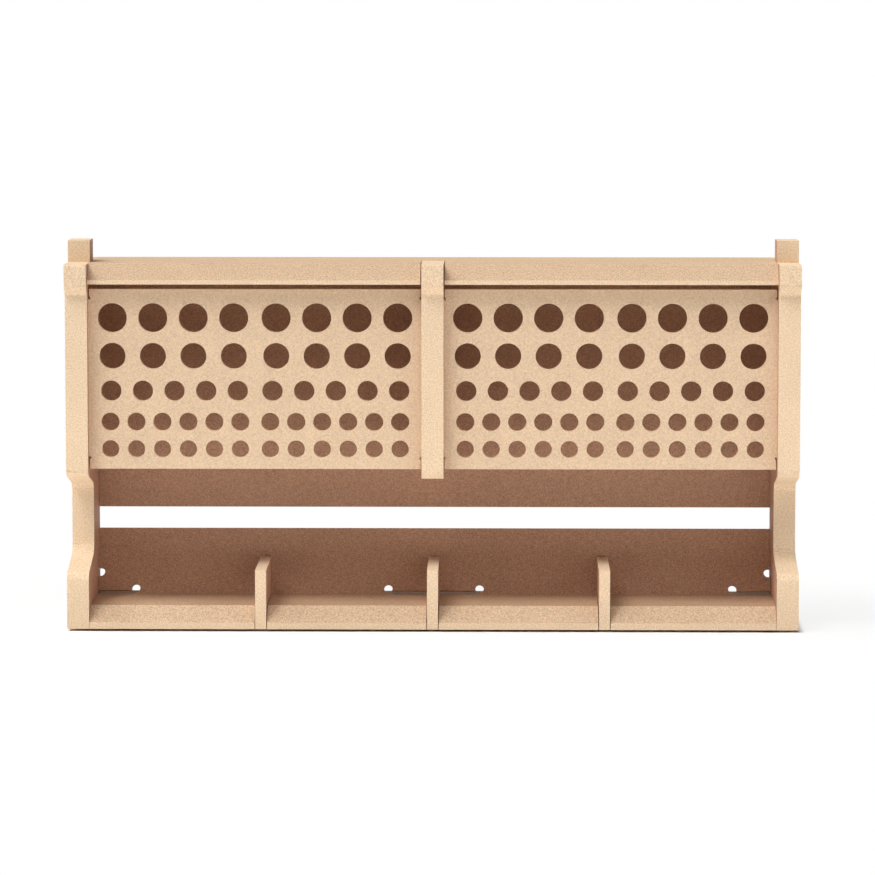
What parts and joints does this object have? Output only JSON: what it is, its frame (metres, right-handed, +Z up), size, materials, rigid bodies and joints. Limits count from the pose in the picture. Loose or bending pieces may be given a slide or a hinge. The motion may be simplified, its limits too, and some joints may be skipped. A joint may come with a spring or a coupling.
{
  "type": "hobby workstation organizer",
  "caption": "Desk rack of bare fibreboard: perforated tool panels under a bevelled top board, with an open divided tray below and stacking posts on the sides.",
  "frame": {"origin": "middle of the width and of the depth, on the plane that the foot pads rest on", "axes": "+X along the width to the right seen from the front, -Y out of the front, +Z up"},
  "size_m": [0.4, 0.07, 0.2133],
  "materials": {
    "board": "bare fibreboard",
    "pad": "matte"
  },
  "bodies": {
    "root": {"base_board": "board", "centre_partition": "board", "foot_pad_front_left": "pad", "foot_pad_front_right": "pad", "foot_pad_middle_left": "pad", "foot_pad_middle_right": "pad", "foot_pad_rear_left": "pad", "foot_pad_rear_right": "pad", "lower_back_panel": "board", "perforated_panel_left": "board", "perforated_panel_right": "board", "side_panel_left": "board", "side_panel_right": "board", "top_board": "board", "tray_divider_centre": "board", "tray_divider_left": "board", "tray_divider_right": "board", "upper_back_panel": "board"}
  },
  "joints": []
}
